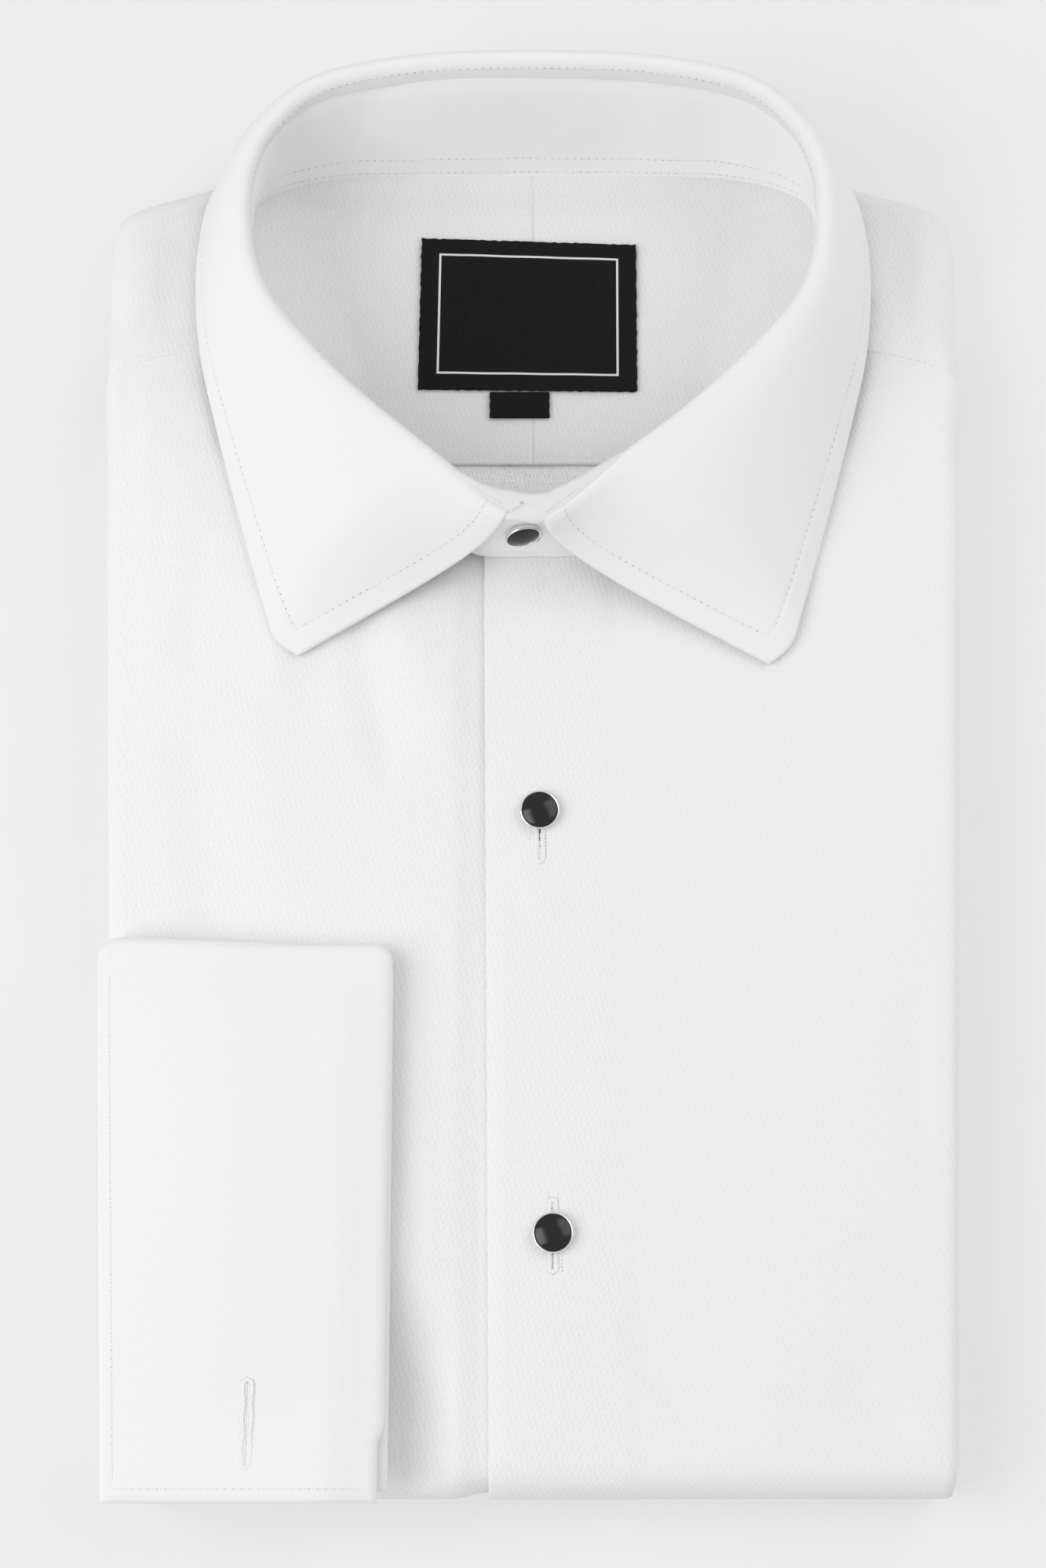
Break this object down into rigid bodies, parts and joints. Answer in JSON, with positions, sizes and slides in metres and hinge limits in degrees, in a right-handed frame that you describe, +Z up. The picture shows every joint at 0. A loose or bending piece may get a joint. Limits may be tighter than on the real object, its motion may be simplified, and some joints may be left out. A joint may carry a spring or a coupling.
{
  "type": "long sleeve dress shirt, folded",
  "caption": "Long sleeve dress shirt, buttoned and folded flat front up, with a standing spread collar, a double cuff laid over the front and dress studs.",
  "frame": {"origin": "middle of the pack's outline, on the surface that it lies on", "axes": "+Y from the bottom fold to the collar, +Z up out of the shirt's front, +X to the wearer's left"},
  "size_m": [0.2284, 0.3742, 0.05],
  "materials": {
    "body_cloth": "matt white cotton with a fine pique weave",
    "inner_cloth": "matt white cotton, wrong side",
    "collar_cloth": "pressed and interlined white cotton",
    "label_taffeta": "black woven taffeta",
    "stud_plate": "polished silver plate",
    "stud_enamel": "domed black enamel, polished"
  },
  "bodies": {
    "root": {"front_left": "body_cloth", "front_right": "body_cloth", "yoke_outer_left": "body_cloth", "yoke_outer_right": "body_cloth", "sleeve_right": "body_cloth", "yoke_inner_left": "inner_cloth", "yoke_inner_right": "inner_cloth", "back_panel": "inner_cloth", "folded_layers": "inner_cloth", "collar_stand": "collar_cloth", "collar_leaf": "collar_cloth", "cuff_right": "collar_cloth", "neck_label": "label_taffeta", "size_tab": "label_taffeta", "stud_1_setting": "stud_plate", "stud_2_setting": "stud_plate", "stud_collar_setting": "stud_plate", "stud_1_enamel": "stud_enamel", "stud_2_enamel": "stud_enamel", "stud_collar_enamel": "stud_enamel"}
  },
  "joints": []
}
